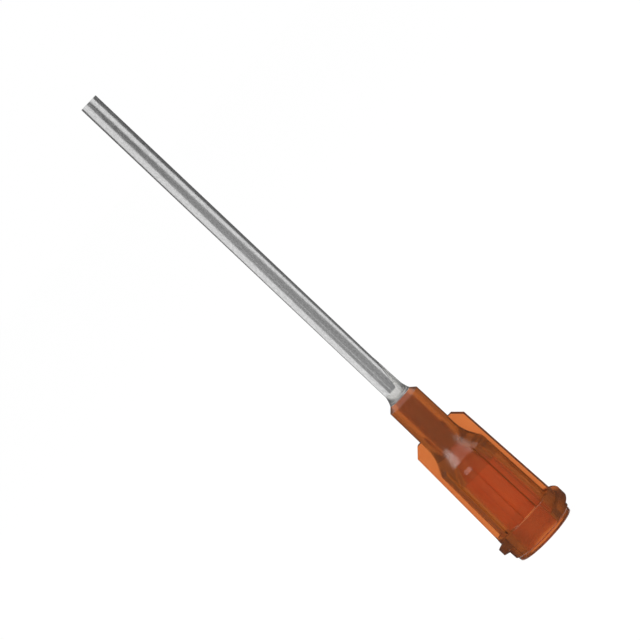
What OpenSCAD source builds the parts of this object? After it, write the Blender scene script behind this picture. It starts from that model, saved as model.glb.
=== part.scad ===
// Dispensing needle tip: a straight steel tube bonded into a moulded luer-lock hub.
// The part stands on the hub's open rim, with +Z along the tube and the wings along X.

/* [Steel tube] */
// Outside diameter of the tube
tube_d = 1.83; // [1.4:0.01:2.1]
// Thickness of the tube's wall
tube_wall = 0.23; // [0.1:0.01:0.4]
// Length of tube that stands out of the hub's front face
tube_reach = 38.1; // [12:0.1:60]
// Length of tube that is bonded inside the hub
tube_seat = 6.4; // [5:0.1:6.8]
// Chamfer that the deburring leaves on the tube's edges
tube_deburr = 0.03; // [0.01:0.01:0.05]

/* [Adhesive] */
// Gap between the tube and its seat in the hub, filled with adhesive
bond_gap = 0.05; // [0.03:0.01:0.1]
// Height of the adhesive fillet above the hub's front face
fillet_height = 1.03; // [0.6:0.01:1.6]
// How far the hollow of the adhesive fillet turns, in degrees
fillet_turn = 18; // [8:1:30]

/* [Hub neck] */
// Overall length of the hub
hub_length = 18.1; // [16.8:0.1:22]
// Diameter of the neck at its front end
neck_tip_d = 3.42; // [3.2:0.01:3.5]
// Diameter of the neck where it meets the sweep
neck_root_d = 3.52; // [3.3:0.01:3.8]
// Chamfer round the neck's front end, along the axis
tip_chamfer = 0.45; // [0.2:0.01:0.6]
// Width of the front face that the adhesive stands on
front_face = 0.27; // [0.2:0.01:0.4]

/* [Hub body] */
// Diameter of the body at the flange
body_root_d = 5.66; // [5.4:0.01:6]
// Diameter of the body at its shoulder
shoulder_d = 5.33; // [5:0.01:5.6]
// Height of the shoulder above the rim
shoulder_height = 10.4; // [9.6:0.1:11]
// Rounding of the shoulder
shoulder_round = 0.6; // [0.2:0.05:0.9]
// Slope of the sweep from the shoulder to the neck, from the axis in degrees
sweep_slope = 28; // [22:1:36]
// Radius of the hollow sweep into the neck
sweep_round = 3.6; // [2:0.1:4]

/* [Wings] */
// Thickness of the two wings
wing_thick = 0.78; // [0.5:0.01:1.1]
// Span over both wings at the flange
wing_root_span = 6.6; // [6.2:0.01:6.62]
// Span over both wings at their top
wing_top_span = 5.92; // [5.7:0.01:6.4]
// Height of the wings' top above the rim
wing_height = 13.87; // [12.6:0.01:15]
// Chamfer on the wings' top corners
wing_chamfer = 0.82; // [0.3:0.01:1]

/* [Grip ribs] */
// Width of a rib
rib_width = 0.72; // [0.4:0.01:1]
// Height of a rib above the body
rib_rise = 0.17; // [0.08:0.01:0.3]
// Height of the slanting ribs' tops above the rim, for the four beside the wings
side_rib_height = 10.79; // [10.5:0.01:10.9]
// The same for the two ribs midway between the wings
mid_rib_height = 9.66; // [8:0.01:10.2]
// Length of the slope at a rib's top
rib_slope = 0.38; // [0.2:0.01:0.6]

/* [Luer end] */
// Diameter of the socket's mouth
socket_d = 4.3; // [4.2:0.01:4.4]
// Diameter that the socket loses for each millimetre of depth
socket_taper = 0.06; // [0.05:0.005:0.07]
// Depth of the tapered socket
socket_depth = 8.5; // [7:0.1:9]
// Lead-in chamfer at the socket's mouth
mouth_chamfer = 0.12; // [0.05:0.01:0.2]
// Width of the ledge at the socket's bottom
socket_ledge = 0.2; // [0.05:0.01:0.4]
// Thickness of the stop that the tube stands on
tube_stop = 0.7; // [0.3:0.05:1.2]
// Diameter of the rim that the hub stands on
rim_d = 6.32; // [5.9:0.01:6.5]
// Height of the rim
rim_height = 0.42; // [0.2:0.01:0.6]
// Diameter of the flange at its mould line
flange_d = 6.64; // [6.5:0.01:6.9]
// Height of the flange's top above the rim
flange_height = 2.85; // [2.6:0.01:3.2]
// Draft of the flange from its mould line, as a radius lost at each end
flange_draft = 0.03; // [0.01:0.01:0.06]

/* [Lock lugs] */
// Diameter across the two lugs
lugs_d = 7.75; // [7.6:0.01:7.83]
// Width of a lug at its root
lug_root_width = 1.05; // [0.9:0.01:1.1]
// Width of a lug at its crest
lug_crest_width = 0.74; // [0.4:0.01:0.8]
// Rise of a lug in one full turn
lug_lead = 4.5; // [3.6:0.1:5]
// Distance between the two flat ends of a lug
lug_span = 4.96; // [4.4:0.01:5.2]
// How far the strip that carries a lug stands proud of the flange
lug_pad = 0.04; // [0.02:0.01:0.08]

/* [Hidden] */
$fn = 72;

tube_r = tube_d / 2;
tube_bore_r = tube_r - tube_wall;
seat_r = tube_r + bond_gap;
seat_z = hub_length - tube_seat;
tip_z = hub_length + tube_reach;
front_r = seat_r + front_face;

flange_r = flange_d / 2;
mould_line = (rim_height + flange_height) / 2;
rim_step = 0.12;
edge_round = 0.08;
root_round = 0.12;
overcut = 0.5;
chord_error = 0.003;
lug_steps = 24;
lug_foot_r = flange_r - 0.3;

shoulder_r = shoulder_d / 2;
neck_root_r = neck_root_d / 2;
neck_root_z = shoulder_height + (shoulder_r - neck_root_r) / tan(sweep_slope);
body_draft = (body_root_d - shoulder_d) / 2 / (shoulder_height - flange_height);

// Radius of the tapered body at height z
function body_r(z) = body_root_d / 2 - body_draft * (z - flange_height);

// Radius of the tapered socket at depth z
function socket_r(z) = (socket_d - socket_taper * z) / 2;

// An angle brought between -180 and 180
function half_turn(a) = a > 180 ? a - 360 : a < -180 ? a + 360 : a;

// The corner b between a and c, rounded with radius r by an arc that touches both sides
function rounded_corner(a, b, c, r) =
    let (u = (a - b) / norm(a - b), v = (c - b) / norm(c - b))
    let (half = acos(u * v) / 2, reach = r / tan(half))
    let (centre = b + (u + v) / norm(u + v) * r / sin(half))
    let (from = b + u * reach - centre, to = b + v * reach - centre)
    let (start = atan2(from[1], from[0]), turn = half_turn(atan2(to[1], to[0]) - start))
    let (steps = max(2, ceil(abs(turn) / (2 * acos(1 - chord_error / r)))))
    [for (i = [0:steps]) centre + r * [cos(start + turn * i / steps), sin(start + turn * i / steps)]];

// An outline from corners written as [x, y, rounding]
function rounded_outline(corners) = [
    for (i = [0:len(corners) - 1])
        let (n = len(corners), b = corners[i], a = corners[(i + n - 1) % n], c = corners[(i + 1) % n])
        let (flat_a = [a[0], a[1]], flat_b = [b[0], b[1]], flat_c = [c[0], c[1]])
        each b[2] > 0 ? rounded_corner(flat_a, flat_b, flat_c, b[2]) : [flat_b]
];

// The hub's outer form, turned about the axis: rim, flange, body, hollow sweep and neck
module turned_hub() {
    rotate_extrude()
        polygon(rounded_outline([
            [0, 0, 0],
            [rim_d / 2, 0, edge_round],
            [rim_d / 2, rim_height, 0],
            [flange_r - flange_draft, rim_height + rim_step, 0],
            [flange_r, mould_line, 0],
            [flange_r - flange_draft, flange_height, edge_round],
            [body_root_d / 2, flange_height, root_round],
            [shoulder_r, shoulder_height, shoulder_round],
            [neck_root_r, neck_root_z, sweep_round],
            [neck_tip_d / 2, hub_length - tip_chamfer, edge_round],
            [front_r, hub_length, 0],
            [0, hub_length, 0]
        ]));
}

// The way through the hub: lead-in, tapered socket, funnel, tube stop and tube seat
module hub_passage() {
    rotate_extrude()
        polygon([
            [0, -overcut],
            [socket_d / 2 + mouth_chamfer, -overcut],
            [socket_d / 2 + mouth_chamfer, 0],
            [socket_r(mouth_chamfer), mouth_chamfer],
            [socket_r(socket_depth), socket_depth],
            [socket_r(socket_depth) - socket_ledge, socket_depth],
            [tube_bore_r, seat_z - tube_stop],
            [tube_bore_r, seat_z],
            [seat_r, seat_z],
            [seat_r, hub_length + overcut],
            [0, hub_length + overcut]
        ]);
}

// One upright plate with the side view given as [radius, height] points, centred on its thickness
module upright_plate(thick, side_view) {
    rotate([90, 0, 0])
        translate([0, 0, -thick / 2])
            linear_extrude(thick)
                polygon(side_view);
}

// Both wings as one plate across the axis, with their top corners cut off
module wings() {
    sunk = flange_height - overcut;
    for (side = [0, 180])
        rotate([0, 0, side])
            upright_plate(wing_thick, [
                [0, sunk],
                [wing_root_span / 2, sunk],
                [wing_root_span / 2, flange_height],
                [wing_top_span / 2, wing_height - wing_chamfer],
                [wing_top_span / 2 - wing_chamfer, wing_height],
                [0, wing_height]
            ]);
}

// A low grip rib on the body, whose top slopes down to the surface
module grip_rib(top) {
    sunk = flange_height - overcut;
    buried = 0.3;
    full = top - rib_slope;
    surface_r = top > shoulder_height
        ? shoulder_r - (top - shoulder_height) * tan(sweep_slope)
        : body_r(top);
    upright_plate(rib_width, [
        [body_r(sunk) - buried, sunk],
        [body_r(sunk) + rib_rise, sunk],
        [body_r(full) + rib_rise, full],
        [surface_r, top],
        [surface_r - buried, top]
    ]);
}

module grip_ribs() {
    for (beside_wing = [45:90:315])
        rotate([0, 0, beside_wing])
            grip_rib(side_rib_height);
    for (midway = [90, 270])
        rotate([0, 0, midway])
            grip_rib(mid_rib_height);
}

// One lock lug: a trapezium carried up a right-hand helix, centred on +X, with both ends in flat planes
module lug_helix() {
    crest_r = lugs_d / 2;
    flank = (lug_root_width - lug_crest_width) / 2 / (crest_r - flange_r);
    buried_half = lug_crest_width / 2 + flank * (crest_r - lug_foot_r);
    section = [
        [lug_foot_r, -buried_half],
        [crest_r, -lug_crest_width / 2],
        [crest_r, lug_crest_width / 2],
        [lug_foot_r, buried_half]
    ];
    corners = len(section);
    points = [
        for (i = [0:lug_steps], p = section)
            let (turn = asin(lug_span / 2 / p[0]) * (2 * i / lug_steps - 1))
            [p[0] * cos(turn), p[0] * sin(turn), mould_line + p[1] + lug_lead * turn / 360]
    ];
    sides = [
        for (i = [0:lug_steps - 1], k = [0:corners - 1])
            let (a = i * corners + k, b = i * corners + (k + 1) % corners)
            each [[b, b + corners, a], [b + corners, a + corners, a]]
    ];
    last = lug_steps * corners;
    ends = [[2, 1, 0], [3, 2, 0], [last + 1, last + 2, last + 3], [last, last + 1, last + 3]];
    polyhedron(points, concat(sides, ends));
}

// The strips of flange that carry the lugs, cut off by the planes of the lugs' ends
module lug_pads() {
    pad_r = flange_r + lug_pad;
    low = rim_height + rim_step;
    high = flange_height - edge_round;
    intersection() {
        translate([-lugs_d, -lug_span / 2, 0])
            cube([2 * lugs_d, lug_span, hub_length]);
        rotate_extrude()
            polygon([
                [lug_foot_r, low],
                [pad_r - flange_draft, low],
                [pad_r, mould_line],
                [pad_r - flange_draft, high],
                [lug_foot_r, high]
            ]);
    }
}

// The moulded hub, one piece
module hub() {
    color([0.62, 0.25, 0.12])
        difference() {
            union() {
                turned_hub();
                wings();
                grip_ribs();
                lug_pads();
                for (side = [0, 180])
                    rotate([0, 0, side])
                        lug_helix();
            }
            hub_passage();
        }
}

// The steel tube, cut square and deburred at both ends
module needle_tube() {
    color([0.72, 0.73, 0.74])
        rotate_extrude()
            polygon([
                [tube_bore_r + tube_deburr, seat_z],
                [tube_r - tube_deburr, seat_z],
                [tube_r, seat_z + tube_deburr],
                [tube_r, tip_z - tube_deburr],
                [tube_r - tube_deburr, tip_z],
                [tube_bore_r + tube_deburr, tip_z],
                [tube_bore_r, tip_z - tube_deburr],
                [tube_bore_r, seat_z + tube_deburr]
            ]);
}

// The adhesive: a sleeve that fills the bond gap, and a hollow fillet that climbs the tube
module adhesive_fillet() {
    foot = [front_r, hub_length];
    head = [tube_r, hub_length + fillet_height];
    chord = head - foot;
    hollow_r = norm(chord) / 2 / sin(fillet_turn / 2);
    outward = [chord[1], -chord[0]] / norm(chord);
    centre = (foot + head) / 2 + outward * hollow_r * cos(fillet_turn / 2);
    start = atan2(foot[1] - centre[1], foot[0] - centre[0]);
    steps = max(3, ceil(fillet_turn / 3));
    hollow = [
        for (i = [0:steps])
            let (a = start - fillet_turn * i / steps)
            centre + hollow_r * [cos(a), sin(a)]
    ];
    color([0.80, 0.78, 0.72])
        rotate_extrude()
            polygon(concat([
                [tube_r, seat_z + tube_deburr],
                [seat_r, seat_z + tube_deburr],
                [seat_r, hub_length]
            ], hollow));
}

hub();
needle_tube();
adhesive_fillet();
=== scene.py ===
"""A dispensing needle tip standing on its hub: camera, studio, finishes and the cured adhesive."""

import math

import bpy
import numpy as np
from mathutils import Matrix, Vector


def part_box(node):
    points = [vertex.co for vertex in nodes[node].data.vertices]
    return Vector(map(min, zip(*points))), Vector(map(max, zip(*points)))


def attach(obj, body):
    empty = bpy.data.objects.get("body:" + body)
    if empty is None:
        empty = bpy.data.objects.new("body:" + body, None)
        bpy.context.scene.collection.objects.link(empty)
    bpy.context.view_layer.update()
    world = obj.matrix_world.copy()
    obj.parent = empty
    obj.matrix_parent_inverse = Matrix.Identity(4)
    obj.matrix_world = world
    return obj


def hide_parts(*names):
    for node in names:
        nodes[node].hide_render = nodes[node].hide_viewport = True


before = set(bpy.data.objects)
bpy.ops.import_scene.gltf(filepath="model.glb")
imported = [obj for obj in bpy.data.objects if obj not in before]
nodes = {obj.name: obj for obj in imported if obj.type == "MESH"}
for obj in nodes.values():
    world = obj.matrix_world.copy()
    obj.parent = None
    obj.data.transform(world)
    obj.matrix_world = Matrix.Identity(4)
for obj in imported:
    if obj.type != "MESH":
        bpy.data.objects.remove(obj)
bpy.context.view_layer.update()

MM = 0.001

# Places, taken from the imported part
_, tube_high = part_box("needle_tube")
hub_low, hub_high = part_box("hub")
resin_low, resin_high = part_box("adhesive_fillet")
TUBE_R = tube_high.x
TIP_Z = tube_high.z
HUB_Z = hub_high.z
FILLET_Z = resin_high.z

# The camera's right and the camera itself, as angles about +Z
VIEW_TURN = math.radians(13.0)
RIGHT_SIDE = VIEW_TURN
FRONT_SIDE = VIEW_TURN - math.pi / 2

# The surroundings' brightness: where they are seen, and as light on the part
SEEN_STRENGTH = 1.0
LIGHT_STRENGTH = 0.5


def around(angle, radius, height):
    """The point at an angle about +Z, a radius and a height."""
    return Vector((radius * math.cos(angle), radius * math.sin(angle), height))


# ---------------------------------------------------------------- meshes

def grid_mesh(name, points, closed_across=False, closed_along=False):
    """A smooth quad mesh on an (along, across, 3) grid of points.

    Each quad joins a point to the next one across, along and both ways. A closed direction also joins
    its last points to its first.
    """
    rows, columns = points.shape[:2]
    row = np.arange(rows if closed_along else rows - 1)
    column = np.arange(columns if closed_across else columns - 1)
    r, c = np.meshgrid(row, column, indexing="ij")
    r_next, c_next = (r + 1) % rows, (c + 1) % columns
    quads = np.stack([r * columns + c, r * columns + c_next,
                      r_next * columns + c_next, r_next * columns + c], axis=-1).reshape(-1, 4)
    mesh = bpy.data.meshes.new(name)
    mesh.vertices.add(rows * columns)
    mesh.vertices.foreach_set("co", points.reshape(-1).astype(np.float32))
    mesh.loops.add(quads.size)
    mesh.loops.foreach_set("vertex_index", quads.reshape(-1).astype(np.int32))
    mesh.polygons.add(len(quads))
    mesh.polygons.foreach_set("loop_start", np.arange(0, quads.size, 4, dtype=np.int32))
    mesh.polygons.foreach_set("use_smooth", np.ones(len(quads), dtype=bool))
    mesh.update(calc_edges=True)
    mesh.validate()
    return mesh


def link(name, mesh, material):
    """Puts a mesh into the scene as an object at the origin."""
    obj = bpy.data.objects.new(name, mesh)
    bpy.context.scene.collection.objects.link(obj)
    mesh.materials.append(material)
    return obj


# ---------------------------------------------------------------- materials

class Finish:
    """A material under construction: short calls for its nodes and links."""

    def __init__(self, name):
        self.material = bpy.data.materials.new(name)
        self.material.use_nodes = True
        self.tree = self.material.node_tree
        self.tree.nodes.clear()
        self.output = self.add("ShaderNodeOutputMaterial")
        self.shader = self.add("ShaderNodeBsdfPrincipled")
        self.join(self.shader, "BSDF", self.output, "Surface")
        self.place = self.add("ShaderNodeTexCoord")

    def add(self, kind, **settings):
        """A new node, with its settings."""
        node = self.tree.nodes.new(kind)
        for key, value in settings.items():
            setattr(node, key, value)
        return node

    def join(self, source, out, target, into):
        """A link from a node's output to another's input, both by name."""
        self.tree.links.new(source.outputs[out], target.inputs[into])

    def set(self, **values):
        """Constants on the shader's own sockets."""
        for key, value in values.items():
            self.shader.inputs[key.replace("_", " ")].default_value = value

    def mapped(self, stretch):
        """Object coordinates in millimetres, stretched along each axis."""
        mapping = self.add("ShaderNodeMapping")
        mapping.inputs["Scale"].default_value = [s / MM for s in stretch]
        self.join(self.place, "Object", mapping, "Vector")
        return mapping

    def noise(self, scale, stretch=(1, 1, 1), detail=3.0, roughness=0.5):
        """Noise with a scale in cells per millimetre."""
        noise = self.add("ShaderNodeTexNoise")
        noise.inputs["Scale"].default_value = scale
        noise.inputs["Detail"].default_value = detail
        noise.inputs["Roughness"].default_value = roughness
        self.join(self.mapped(stretch), "Vector", noise, "Vector")
        return noise

    def ramp(self, source, out, stops):
        """A colour ramp of (place, colour) stops."""
        ramp = self.add("ShaderNodeValToRGB")
        elements = ramp.color_ramp.elements
        while len(elements) < len(stops):
            elements.new(0.5)
        for element, (place, colour) in zip(elements, stops):
            element.position = place
            element.color = (*colour, 1.0)
        self.join(source, out, ramp, "Fac")
        return ramp

    def bump(self, source, out, depth):
        """A bump at full strength whose height is depth in millimetres."""
        bump = self.add("ShaderNodeBump")
        bump.inputs["Strength"].default_value = 1.0
        bump.inputs["Distance"].default_value = depth * MM
        self.join(source, out, bump, "Height")
        self.join(bump, "Normal", self.shader, "Normal")

    def absorb(self, colour, density):
        """Light loses colour with its way through the solid; density is per metre."""
        volume = self.add("ShaderNodeVolumeAbsorption")
        volume.inputs["Color"].default_value = (*colour, 1.0)
        volume.inputs["Density"].default_value = density
        self.join(volume, "Volume", self.output, "Volume")


def grey(value):
    """A colour with no hue."""
    return (value, value, value)


def amber_plastic():
    """Moulded amber polypropylene: clear enough to glow in the thin wings, deep brown-red in the body."""
    f = Finish("amber plastic")
    f.set(IOR=1.49, Transmission_Weight=0.88)
    flow = f.noise(0.9, (1, 1, 0.35), detail=4.0)
    tint = f.ramp(flow, "Fac", [(0.3, (0.93, 0.25, 0.078)), (0.7, (0.97, 0.30, 0.095))])
    f.join(tint, "Color", f.shader, "Base Color")
    haze = f.noise(6.0, detail=5.0)
    rough = f.ramp(haze, "Fac", [(0.3, grey(0.15)), (0.7, grey(0.23))])
    f.join(rough, "Color", f.shader, "Roughness")
    skin = f.noise(14.0, (1, 1, 0.6), detail=4.0)
    f.bump(skin, "Fac", 0.002)
    f.absorb((0.51, 0.45, 0.10), 1000.0)
    return f.material


def drawn_steel():
    """Drawn stainless tube: fine grain and faint marks along its length."""
    f = Finish("drawn steel")
    f.set(Metallic=1.0, IOR=2.5)
    f.shader.inputs["Anisotropic"].default_value = 0.45
    tangent = f.add("ShaderNodeTangent", direction_type="RADIAL", axis="Z")
    f.join(tangent, "Tangent", f.shader, "Tangent")
    grain = f.noise(9.0, (1, 1, 0.45), detail=5.0, roughness=0.7)
    tone = f.ramp(grain, "Fac", [(0.35, grey(0.50)), (0.65, grey(0.74))])
    f.join(tone, "Color", f.shader, "Base Color")
    wear = f.noise(5.0, (1, 1, 0.3), detail=4.0)
    rough = f.ramp(wear, "Fac", [(0.3, grey(0.17)), (0.7, grey(0.27))])
    f.join(rough, "Color", f.shader, "Roughness")
    marks = f.noise(12.0, (1, 1, 0.4), detail=4.0, roughness=0.65)
    f.bump(marks, "Fac", 0.002)
    return f.material


def clear_resin():
    """Cured clear adhesive, faintly warm, with a soft unevenness."""
    f = Finish("clear resin")
    f.set(IOR=1.52, Transmission_Weight=0.97)
    cloud = f.noise(2.5, detail=3.0)
    tint = f.ramp(cloud, "Fac", [(0.3, (0.90, 0.90, 0.88)), (0.7, (0.97, 0.96, 0.93))])
    f.join(tint, "Color", f.shader, "Base Color")
    haze = f.noise(5.0, detail=3.0)
    rough = f.ramp(haze, "Fac", [(0.3, grey(0.03)), (0.7, grey(0.09))])
    f.join(rough, "Color", f.shader, "Roughness")
    ripple = f.noise(3.0, (1, 1, 0.8), detail=2.0)
    f.bump(ripple, "Fac", 0.02)
    return f.material


def dress(node, material):
    """A CAD node takes one finish on all its faces."""
    mesh = nodes[node].data
    mesh.materials.clear()
    mesh.materials.append(material)


amber, steel, resin = amber_plastic(), drawn_steel(), clear_resin()
dress("hub", amber)
dress("needle_tube", steel)


# ---------------------------------------------------------------- the adhesive

def adhesive():
    """The cured adhesive as one skin: the sleeve in the seat, the hollow fillet and the tongue up one side.

    Every column of the grid is one closed profile, at an angle about +Z. Its free surface climbs from
    the hub's front face to the adhesive's upper edge, with s from 0 to 1. Its distance from the tube is
    the fillet's plus the film's. The fillet's falls off as (1 - h) to fillet_power, with h the height in
    fillet heights. The film's is the tongue: it goes as 1 - v squared, with v from -1 to 1 across the
    tongue, thins out to the edge as 1 - s cubed, ripples a little and leans to one side as it climbs.
    The upper edge stands at the fillet's height, and rises over the tongue as (1 - v squared) to
    tongue_power. The inner wall lies a hair under the steel's surface, because the adhesive wets it, and
    so does the edge.
    """
    gap, wetted = 0.003 * MM, 0.006 * MM
    sleeve, film = 0.05 * MM, 0.075 * MM
    tongue_reach, tongue_half = 3.3 * MM, math.radians(68)
    fillet_power, tongue_power = 1.8, 1.3
    most_lean, ripple_depth = 0.15, 0.18
    columns, climbing_rows = 144, 56
    fillet_height = FILLET_Z - HUB_Z
    reach_out = resin_high.x - TUBE_R - gap
    angle = np.linspace(0.0, 2 * math.pi, columns, endpoint=False)[None, :]
    s = np.linspace(0.0, 1.0, climbing_rows)[:, None]
    off_middle = np.mod(angle - RIGHT_SIDE + math.pi, 2 * math.pi) - math.pi
    lean = most_lean * np.sin(4.0 * s)
    v = np.clip((off_middle - lean) / tongue_half, -1, 1)
    ridge = np.clip(1 - v ** 2, 0, 1)
    upright = np.clip(1 - (off_middle / tongue_half) ** 2, 0, 1)
    climb = (fillet_height + tongue_reach * upright ** tongue_power) * s
    hollow = np.clip(1 - climb / fillet_height, 0, 1) ** fillet_power
    ripple = 1 + ripple_depth * np.sin(9 * s + 3 * off_middle)
    lift = reach_out * hollow + film * ridge * ripple * (1 - s ** 3) * (1 - hollow)
    free = TUBE_R - wetted * s ** 4 + lift
    inner, outer = TUBE_R - wetted, TUBE_R + sleeve - gap
    low = resin_low.z + gap
    corners = [(inner, low), (outer, low), (outer, HUB_Z), (TUBE_R + reach_out, HUB_Z + gap)]
    radius = [np.full(angle.shape, r) for r, _ in corners] + [free[1:]]
    height = [np.full(angle.shape, z) for _, z in corners] + [HUB_Z + gap + climb[1:]]
    radius, height = np.concatenate(radius), np.concatenate(height)
    points = np.stack([radius * np.cos(angle), radius * np.sin(angle), height], axis=-1)
    piece = link("cured_adhesive", grid_mesh("cured_adhesive", points, True, True), resin)
    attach(piece, "root")
    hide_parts("adhesive_fillet")


adhesive()


# ---------------------------------------------------------------- studio

def glow(name, low_strength, high_strength, low, high):
    """A material that only gives light.

    Its strength runs evenly from low_strength at the height low to high_strength at the height high.
    """
    material = bpy.data.materials.new(name)
    material.use_nodes = True
    tree = material.node_tree
    tree.nodes.clear()
    place = tree.nodes.new("ShaderNodeTexCoord")
    split = tree.nodes.new("ShaderNodeSeparateXYZ")
    level = tree.nodes.new("ShaderNodeMapRange")
    emission = tree.nodes.new("ShaderNodeEmission")
    output = tree.nodes.new("ShaderNodeOutputMaterial")
    for socket, value in (("From Min", low), ("From Max", high),
                          ("To Min", low_strength), ("To Max", high_strength)):
        level.inputs[socket].default_value = value
    tree.links.new(place.outputs["Object"], split.inputs["Vector"])
    tree.links.new(split.outputs["Z"], level.inputs["Value"])
    tree.links.new(level.outputs["Result"], emission.inputs["Strength"])
    tree.links.new(emission.outputs["Emission"], output.inputs["Surface"])
    return material


def reflector(name, radii, low, high, low_span, high_span, material):
    """A curved card round the part that only reflections show.

    It stands between the heights low and high, at a radius that runs evenly from the first of radii
    to the second. Its span, two angles counted from the front in degrees, runs evenly from low_span at
    the bottom to high_span at the top.
    """
    rows, columns = 12, 48
    height = np.linspace(low, high, rows)[:, None]
    rise = (height - low) / (high - low)
    across = np.linspace(0.0, 1.0, columns)[None, :]
    near = low_span[0] + (high_span[0] - low_span[0]) * rise
    far = low_span[1] + (high_span[1] - low_span[1]) * rise
    angle = FRONT_SIDE + np.radians(near + (far - near) * across)
    radius = radii[0] + (radii[1] - radii[0]) * rise
    points = np.stack([radius * np.cos(angle), radius * np.sin(angle),
                       np.broadcast_to(height, angle.shape)], axis=-1)
    card = link(name, grid_mesh(name, points), material)
    card.visible_camera = False
    card.visible_diffuse = False
    card.visible_transmission = False
    card.visible_shadow = False


def studio_cards():
    """Dark cards that give the tube its dark middle and edges, and painted shade round the hub. The three
    nearly black cards close round the hub, seen only in reflections, stand in for the shade round its foot
    and sides, so its reflections there come out dark and its sides stay deep in colour.
    """
    foot, top = 4 * MM, TIP_Z + 6 * MM
    whole_turn = (-180, 180)
    middle = glow("middle card", 0.37, 0.14, 0.76 * TIP_Z, 0.96 * TIP_Z)
    pale = glow("pale card", 0.95, 0.60, foot, 0.62 * TIP_Z)
    behind = glow("card behind", 0.20, 0.14, foot, top)
    # Painted shade: a nearly black glow for the cards close round the hub, standing in for the shade round
    # its foot and sides in its reflections
    deep = glow("painted shade card", 0.05, 0.05, 0.0, HUB_Z)
    reflector("front_card", (70 * MM, 70 * MM), foot, top, (-60, 80), (-24, 14), middle)
    reflector("pale_strip", (69 * MM, 69 * MM), foot, 0.62 * TIP_Z, (-17, -9), (-15, -9), pale)
    reflector("back_card", (80 * MM, 80 * MM), foot, top, (108, 211), (70, 256), behind)
    # Painted shade: nearly black cards round the hub's neck and body and on the floor round its foot, seen
    # only in reflections, stand in for the shade there
    reflector("neck_card", (10 * MM, 10 * MM), 0.3 * HUB_Z, 0.95 * HUB_Z, whole_turn, whole_turn, deep)
    reflector("body_card", (6.5 * MM, 6.5 * MM), 0.0, 0.5 * HUB_Z, whole_turn, whole_turn, deep)
    reflector("foot_card", (3.6 * MM, 14 * MM), -0.01 * MM, 0.0, whole_turn, whole_turn, deep)


def camera_rays(tree):
    """1 for rays from the camera and for reflected and refracted ones, 0 for the rest."""
    light = tree.nodes.new("ShaderNodeLightPath")
    total = light.outputs["Is Camera Ray"]
    for name in ("Is Glossy Ray", "Is Transmission Ray"):
        most = tree.nodes.new("ShaderNodeMath")
        most.operation = "MAXIMUM"
        tree.links.new(total, most.inputs[0])
        tree.links.new(light.outputs[name], most.inputs[1])
        total = most.outputs[0]
    return total


def white_world():
    """White where it is seen, in mirrors and through clear plastic too, and a plain level as light."""
    world = bpy.data.worlds.new("studio")
    bpy.context.scene.world = world
    world.use_nodes = True
    tree = world.node_tree
    tree.nodes.clear()
    seen = tree.nodes.new("ShaderNodeBackground")
    seen.inputs["Color"].default_value = (1, 1, 1, 1)
    seen.inputs["Strength"].default_value = SEEN_STRENGTH
    light = tree.nodes.new("ShaderNodeBackground")
    light.inputs["Color"].default_value = (1, 1, 1, 1)
    light.inputs["Strength"].default_value = LIGHT_STRENGTH
    mix = tree.nodes.new("ShaderNodeMixShader")
    output = tree.nodes.new("ShaderNodeOutputWorld")
    tree.links.new(camera_rays(tree), mix.inputs["Fac"])
    tree.links.new(light.outputs[0], mix.inputs[1])
    tree.links.new(seen.outputs[0], mix.inputs[2])
    tree.links.new(mix.outputs[0], output.inputs["Surface"])


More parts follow.
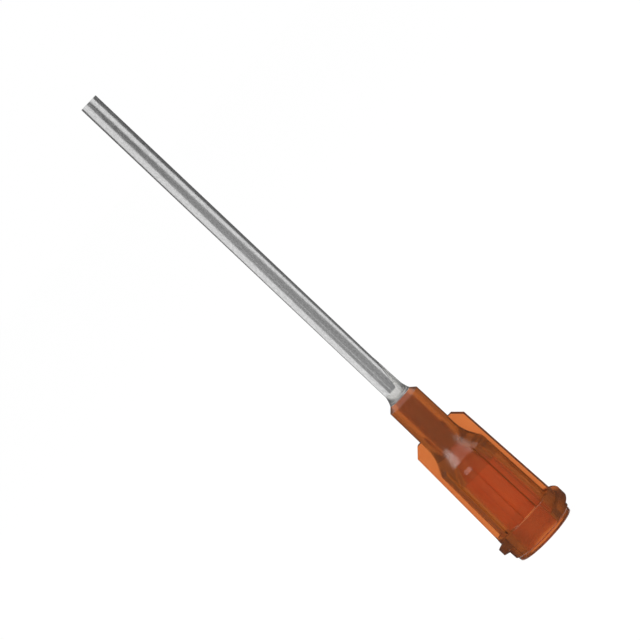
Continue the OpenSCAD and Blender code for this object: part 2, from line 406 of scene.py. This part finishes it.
def floor():
    """A wide pale floor just under the rim: white where it is seen, with a share of real shade."""
    half_width, under_rim = 2.0, 0.02 * MM
    white_strength, white_share = 1.06, 0.9
    ends = np.array([-half_width, half_width])
    x, y = np.meshgrid(ends, ends)
    points = np.stack([x, y, np.full(x.shape, hub_low.z - under_rim)], axis=-1)
    material = bpy.data.materials.new("floor")
    material.use_nodes = True
    tree = material.node_tree
    tree.nodes.clear()
    matt = tree.nodes.new("ShaderNodeBsdfDiffuse")
    matt.inputs["Color"].default_value = (0.86, 0.86, 0.86, 1)
    white = tree.nodes.new("ShaderNodeEmission")
    white.inputs["Strength"].default_value = white_strength
    share = tree.nodes.new("ShaderNodeMath")
    share.operation = "MULTIPLY"
    share.inputs[1].default_value = white_share
    mix = tree.nodes.new("ShaderNodeMixShader")
    output = tree.nodes.new("ShaderNodeOutputMaterial")
    tree.links.new(camera_rays(tree), share.inputs[0])
    tree.links.new(share.outputs[0], mix.inputs["Fac"])
    tree.links.new(matt.outputs[0], mix.inputs[1])
    tree.links.new(white.outputs[0], mix.inputs[2])
    tree.links.new(mix.outputs[0], output.inputs["Surface"])
    link("floor", grid_mesh("floor", points), material)


def lamp(name, angle, distance, height, size, power):
    """A square soft lamp at an angle from the front, aimed at the part's middle, that mirrors don't show."""
    data = bpy.data.lights.new(name, "AREA")
    data.size = size
    data.energy = power
    obj = bpy.data.objects.new(name, data)
    bpy.context.scene.collection.objects.link(obj)
    obj.visible_glossy = False
    obj.location = around(FRONT_SIDE + angle, distance, height)
    aim = Vector((0, 0, TIP_Z / 2)) - obj.location
    obj.rotation_mode = "QUATERNION"
    obj.rotation_quaternion = aim.to_track_quat("-Z", "Y")


def camera():
    """Stands level with the needle's tip, looks down a little, and rolls the tube to the upper left."""
    distance, aim_aside = 340 * MM, 0.09 * MM
    look_down, roll = math.radians(4.737), math.radians(43.37)
    focal_length, sensor_width = 215.7, 36
    eye = around(FRONT_SIDE, distance, TIP_Z)
    aim = around(RIGHT_SIDE, aim_aside, TIP_Z - distance * math.tan(look_down))
    forward = (aim - eye).normalized()
    up = Vector((0, 0, 1))
    axis_up = (up - forward * up.dot(forward)).normalized()
    across = forward.cross(axis_up)
    right = across * math.sin(roll) - axis_up * math.cos(roll)
    top = axis_up * math.sin(roll) + across * math.cos(roll)
    data = bpy.data.cameras.new("camera")
    data.sensor_width = sensor_width
    data.lens = focal_length
    data.clip_start, data.clip_end = 0.01, 20
    obj = bpy.data.objects.new("camera", data)
    bpy.context.scene.collection.objects.link(obj)
    turn = Matrix((right, top, -forward)).transposed()
    obj.matrix_world = Matrix.Translation(eye) @ turn.to_4x4()
    bpy.context.scene.camera = obj


white_world()
floor()
studio_cards()
lamp("key", angle=math.radians(-50), distance=0.35, height=0.28, size=0.25, power=1.2)
lamp("fill", angle=math.radians(55), distance=0.35, height=0.22, size=0.25, power=0.8)
camera()
bpy.context.scene.view_settings.view_transform = "Standard"
